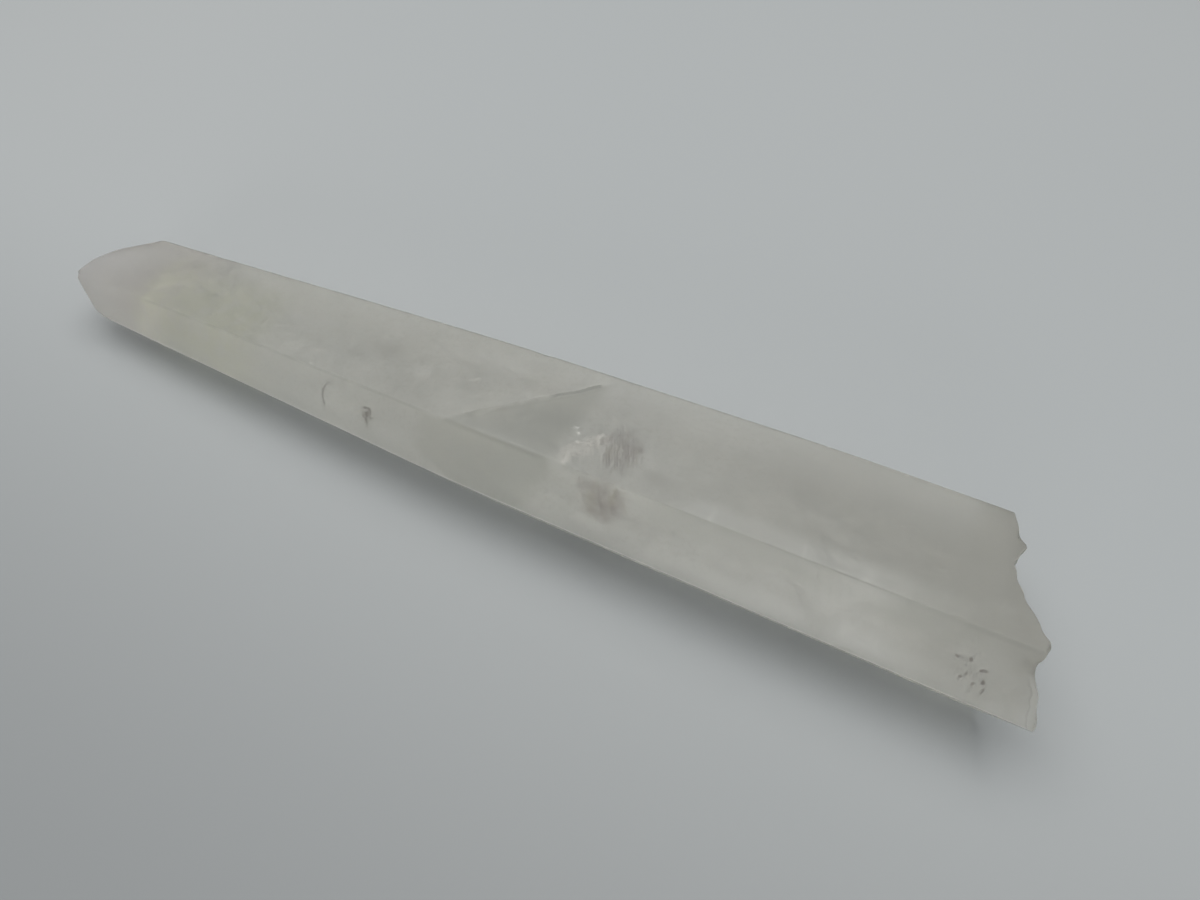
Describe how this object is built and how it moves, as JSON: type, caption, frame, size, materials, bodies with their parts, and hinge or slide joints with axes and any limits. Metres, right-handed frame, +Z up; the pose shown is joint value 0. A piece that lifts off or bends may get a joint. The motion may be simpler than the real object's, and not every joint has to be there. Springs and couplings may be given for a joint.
{
  "type": "quartz crystal",
  "caption": "Slender, tapering, see-through quartz crystal with a natural faceted point and a rough broken foot, lying flat on a prism face. A display specimen.",
  "frame": {"origin": "centre of the crystal's box, on the surface that it lies on", "axes": "+X along the crystal from its point to its broken foot, +Z up, +Y towards its back edge"},
  "size_m": [0.1581, 0.029, 0.0174],
  "materials": {
    "quartz": "natural milky-clear quartz with a satin, lightly worn surface and veils and specks sealed inside"
  },
  "bodies": {
    "root": {"quartz_crystal": "quartz"}
  },
  "joints": []
}
